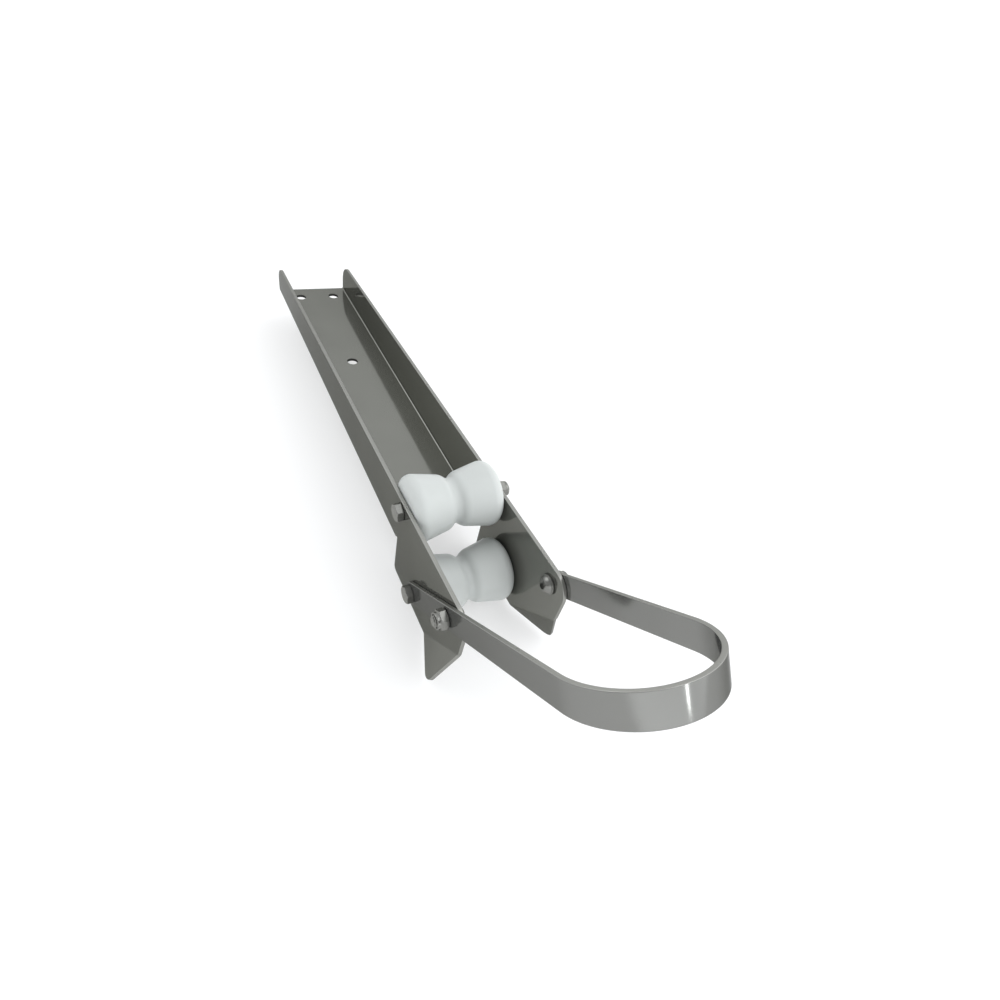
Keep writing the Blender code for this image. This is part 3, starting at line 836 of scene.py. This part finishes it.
class OBJECT_OT_bow_roller_axle_bolts(bpy.types.Operator):
    """Makes the two hexagon bolts that carry the rollers"""

    bl_idname = "object.bow_roller_axle_bolts"
    bl_label = "Axle bolts"

    def execute(self, context):
        bolt = settings().fasteners
        for name, axle in (("upper", UPPER_AXLE), ("lower", LOWER_AXLE)):
            low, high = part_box(name + "_axle_bolt")
            head_face = low.y + bolt.head
            reach = high.y - head_face
            washer_face = bolt.gap / 2
            rows = [(-bolt.head, 0)]
            rows += chamfered(bolt.across_flats, bolt.top_radius, -bolt.head, 1)
            rows += [
                (-washer_face, hexagon(bolt.across_flats)),
                (-washer_face, bolt.top_radius),
                (0, bolt.top_radius),
                (0, bolt.radius),
            ]
            rows += threaded(bolt, 1, reach - bolt.thread_length, reach)
            made = turned(name + "_hexagon_bolt", rows)
            made.location = Vector((axle.x, head_face, axle.z))
            even_shading(made)
            settled(made, name + "_axle_bolt")
        return {"FINISHED"}


class OBJECT_OT_bow_roller_bail_bolts(bpy.types.Operator):
    """Makes the two domed bolts that hold the bail to the walls"""

    bl_idname = "object.bow_roller_bail_bolts"
    bl_label = "Bail bolts"

    def execute(self, context):
        bolt = settings().fasteners
        sphere = (bolt.dome**2 + bolt.dome_height**2) / (2 * bolt.dome_height)
        socket = hexagon(bolt.socket)
        floor = bolt.socket_depth - bolt.dome_height
        dimple = bolt.socket / 3
        rim = bolt.socket / math.sqrt(3) + bolt.gap
        widest = bolt.dome - bolt.gap

        def on_dome(radius):
            return sphere - bolt.dome_height - math.sqrt(sphere**2 - radius**2)

        for name, side in (("starboard", -1), ("port", 1)):
            low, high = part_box(name + "_bail_bolt")
            inner, outer = (low.y, high.y) if side > 0 else (high.y, low.y)
            head_face = inner + side * bolt.dome_height
            rows = [
                (side * (floor + bolt.gap), 0),
                (side * floor, dimple),
                (side * floor, socket),
                (lambda turn: side * on_dome(socket(turn)), socket),
            ]
            for step in range(DOME_ROWS + 1):
                radius = rim + (widest - rim) * step / DOME_ROWS
                rows.append((side * on_dome(radius), radius))
            rows += [
                (side * -bolt.gap, bolt.dome),
                (0, bolt.dome),
                (0, bolt.radius),
            ]
            reach = abs(outer - head_face)
            rows += threaded(bolt, side, bolt.pitch, reach)
            made = turned(name + "_domed_bolt", rows)
            made.location = Vector((BAIL_BOLT.x, head_face, BAIL_BOLT.z))
            even_shading(made)
            settled(made, name + "_bail_bolt")
        return {"FINISHED"}


class OBJECT_OT_bow_roller_washers(bpy.types.Operator):
    """Makes the four plain washers"""

    bl_idname = "object.bow_roller_washers"
    bl_label = "Washers"

    def execute(self, context):
        bolt = settings().fasteners
        round_edge = bolt.washer_round
        reach = bolt.washer - round_edge
        for name in ("upper_axle", "lower_axle", "starboard_bail", "port_bail"):
            low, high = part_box(name + "_washer")
            thick = high.y - low.y
            outside = list(arc_rows(round_edge, reach, round_edge, -90, 0, WASHER_EDGE_ROWS))
            outside += arc_rows(thick - round_edge, reach, round_edge, 0, 90, WASHER_EDGE_ROWS)
            rows = [(0, bolt.hole), (thick, bolt.hole), *reversed(outside)]
            washer = turned(name + "_plain_washer", rows, hollow=True)
            centre = (low + high) / 2
            washer.location = Vector((centre.x, low.y, centre.z))
            even_shading(washer)
            settled(washer, name + "_washer")
        return {"FINISHED"}


class OBJECT_OT_bow_roller_nuts(bpy.types.Operator):
    """Makes the four lock nuts with their nylon rings"""

    bl_idname = "object.bow_roller_nuts"
    bl_label = "Lock nuts"

    def execute(self, context):
        bolt = settings().fasteners
        pocket = bolt.collar - bolt.collar_wall
        lip_radius = (bolt.hole + pocket) / 2
        lip = bolt.collar_wall
        ring_start = bolt.nut - lip - bolt.gap - bolt.ring
        grip = bolt.radius + bolt.ring_room
        sides = {"upper_axle": 1, "lower_axle": 1, "starboard_bail": -1, "port_bail": 1}
        for name, side in sides.items():
            low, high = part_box(name + "_nut")
            seat = low.y if side > 0 else high.y
            rows = [(bolt.gap, bolt.hole), (0, bolt.hole + bolt.gap)]
            rows += chamfered(bolt.across_flats, bolt.top_radius, 0, 1)
            rows += reversed(list(chamfered(bolt.across_flats, bolt.top_radius, bolt.nut_hexagon, -1)))
            rows += [
                (bolt.nut_hexagon, bolt.collar + bolt.gap),
                (bolt.nut_hexagon + bolt.gap, bolt.collar),
                *arc_rows(bolt.nut - lip, bolt.collar - lip, lip, 0, 90, COLLAR_ROWS),
                (bolt.nut, lip_radius + bolt.gap),
                (bolt.nut - bolt.gap, lip_radius),
                (bolt.nut - lip, lip_radius),
                (bolt.nut - lip, pocket),
                (ring_start - bolt.gap, pocket),
                (ring_start - bolt.gap, bolt.hole),
            ]
            facing = [(lambda turn, y=y: side * at(y, turn), radius) for y, radius in rows]
            nut = turned(name + "_lock_nut", facing, hollow=True)
            centre = (low + high) / 2
            nut.location = Vector((centre.x, seat, centre.z))
            even_shading(nut)
            settled(nut, name + "_nut")
            ring_rows = []
            for end, towards in ((ring_start, 1), (ring_start + bolt.ring, -1)):
                y, inset = side * end, side * (end + towards * bolt.gap)
                end_rows = [
                    (inset, grip),
                    (y, grip + bolt.gap),
                    (y, pocket - 2 * bolt.gap),
                    (inset, pocket - bolt.gap),
                ]
                ring_rows += end_rows if towards > 0 else reversed(end_rows)
            ring = turned(name + "_locking_ring", ring_rows, "ring_nylon", hollow=True)
            ring.location = nut.location
            settled(ring, name + "_nut_insert")
        return {"FINISHED"}


# Stage


def lamp(name, place, target, size, strength, colour):
    """A soft rectangular lamp that shows in reflections but not to the camera."""
    data = bpy.data.lights.new(name, "AREA")
    data.shape = "RECTANGLE"
    data.size, data.size_y = size
    data.energy = strength * math.pi * size[0] * size[1]
    data.color = colour
    item = bpy.data.objects.new(name, data)
    item.location = place
    item.rotation_euler = (Vector(target) - Vector(place)).to_track_quat("-Z", "Y").to_euler()
    item.visible_camera = False
    bpy.context.scene.collection.objects.link(item)


class SCENE_OT_bow_roller_stage(bpy.types.Operator):
    """Sets up the floor, the surround, the lamp and the camera"""

    bl_idname = "scene.bow_roller_stage"
    bl_label = "Stage"

    def execute(self, context):
        stage = settings().stage
        scene = context.scene
        floor_shape = bmesh.new()
        bmesh.ops.create_grid(floor_shape, x_segments=1, y_segments=1, size=FLOOR_REACH)
        floor = piece("floor", floor_shape)
        floor.location = (FLOOR_CENTRE, 0, SOLID_BOX[0].z - FLOOR_CLEARANCE)
        floor.data.materials.append(self.floor_material(stage.floor_white))

        world = bpy.data.worlds.new("studio")
        scene.world = world
        world.use_nodes = True
        self.light_from_around(world.node_tree)
        lamp("highlight_strip", **HIGHLIGHT_STRIP)

        data = bpy.data.cameras.new("camera")
        data.lens = stage.lens
        camera = bpy.data.objects.new("camera", data)
        camera.location = stage.camera_place
        camera.rotation_euler = stage.camera_turn
        scene.collection.objects.link(camera)
        scene.camera = camera
        scene.view_settings.view_transform = "Standard"
        return {"FINISHED"}

    def light_from_around(self, tree):
        """A pale surround, lightest at the horizon and brighter in some directions."""
        surround = tree.nodes["Background"]
        direction = add(tree, "TexCoord").outputs["Generated"]
        height = add(tree, "SeparateXYZ", {"Vector": direction}).outputs["Z"]
        horizon_level = STUDIO_LEVEL + HORIZON_GAIN
        level = between(tree, height, horizon_level, STUDIO_LEVEL, 0, HORIZON_HEIGHT, "SMOOTHSTEP")
        for glow in GLOWS:
            towards = Vector(glow["towards"]).normalized()
            facing = add(tree, "VectorMath", {0: direction, 1: towards}, operation="DOT_PRODUCT")
            edge = math.cos(math.radians(glow["spread"]))
            patch = between(tree, facing.outputs["Value"], 0, glow["gain"], edge, 1, "SMOOTHSTEP")
            level = total(tree, patch, level)
        tree.links.new(level, surround.inputs["Strength"])
        surround.inputs["Color"].default_value = SURROUND_COLOUR

    def floor_material(self, white):
        """A pale floor that shows as white wherever no shadow lies on it."""
        finish = bpy.data.materials.new("pale_floor")
        finish.use_nodes = True
        tree = finish.node_tree
        tree.nodes.clear()
        path = add(tree, "LightPath").outputs
        seen = total(tree, path["Is Camera Ray"], path["Is Glossy Ray"])
        seen = total(tree, seen, path["Is Transmission Ray"])
        mix = add(tree, "Math", {0: seen, 1: white}, operation="MULTIPLY")
        matt = add(tree, "BsdfDiffuse", {"Color": FLOOR_COLOUR})
        plain = add(tree, "Emission", {"Color": (1, 1, 1, 1), "Strength": 1})
        both = add(tree, "MixShader", {0: mix.outputs[0], 1: matt.outputs[0], 2: plain.outputs[0]})
        add(tree, "OutputMaterial", {"Surface": both.outputs[0]})
        return finish


class VIEW3D_PT_bow_roller(bpy.types.Panel):
    """Lists the sizes, the finishes and the pieces"""

    bl_idname = "VIEW3D_PT_bow_roller"
    bl_label = "Bow Roller"
    bl_space_type = "VIEW_3D"
    bl_region_type = "UI"
    bl_category = "Bow Roller"

    def draw(self, context):
        chosen = context.scene.bow_roller
        for name in ("channel", "bail", "rollers", "fasteners", "finishes", "stage"):
            box = self.layout.box()
            box.label(text=name.capitalize())
            group = getattr(chosen, name)
            for key in group.bl_rna.properties.keys():
                if key not in ("rna_type", "name"):
                    box.prop(group, key)
        for operator in OPERATORS:
            self.layout.operator(operator.bl_idname)


OPERATORS = (
    OBJECT_OT_bow_roller_channel,
    OBJECT_OT_bow_roller_bail,
    OBJECT_OT_bow_roller_rollers,
    OBJECT_OT_bow_roller_tubes,
    OBJECT_OT_bow_roller_axle_bolts,
    OBJECT_OT_bow_roller_bail_bolts,
    OBJECT_OT_bow_roller_washers,
    OBJECT_OT_bow_roller_nuts,
    SCENE_OT_bow_roller_stage,
)
GROUPS = (ChannelSizes, BailSizes, RollerSizes, FastenerSizes, Finishes, StageSettings, BowRoller)


def register():
    """Makes the sizes, the operators and the panel known to Blender."""
    for item in (*GROUPS, *OPERATORS, VIEW3D_PT_bow_roller):
        bpy.utils.register_class(item)
    bpy.types.Scene.bow_roller = PointerProperty(type=BowRoller)


def unregister():
    """Takes the sizes, the operators and the panel away again."""
    del bpy.types.Scene.bow_roller
    for item in reversed((*GROUPS, *OPERATORS, VIEW3D_PT_bow_roller)):
        bpy.utils.unregister_class(item)


def main():
    """Registers everything, then builds the pieces and the stage in order."""
    register()
    for operator in OPERATORS:
        group, name = operator.bl_idname.split(".")
        getattr(getattr(bpy.ops, group), name)()


if __name__ == "__main__":
    main()
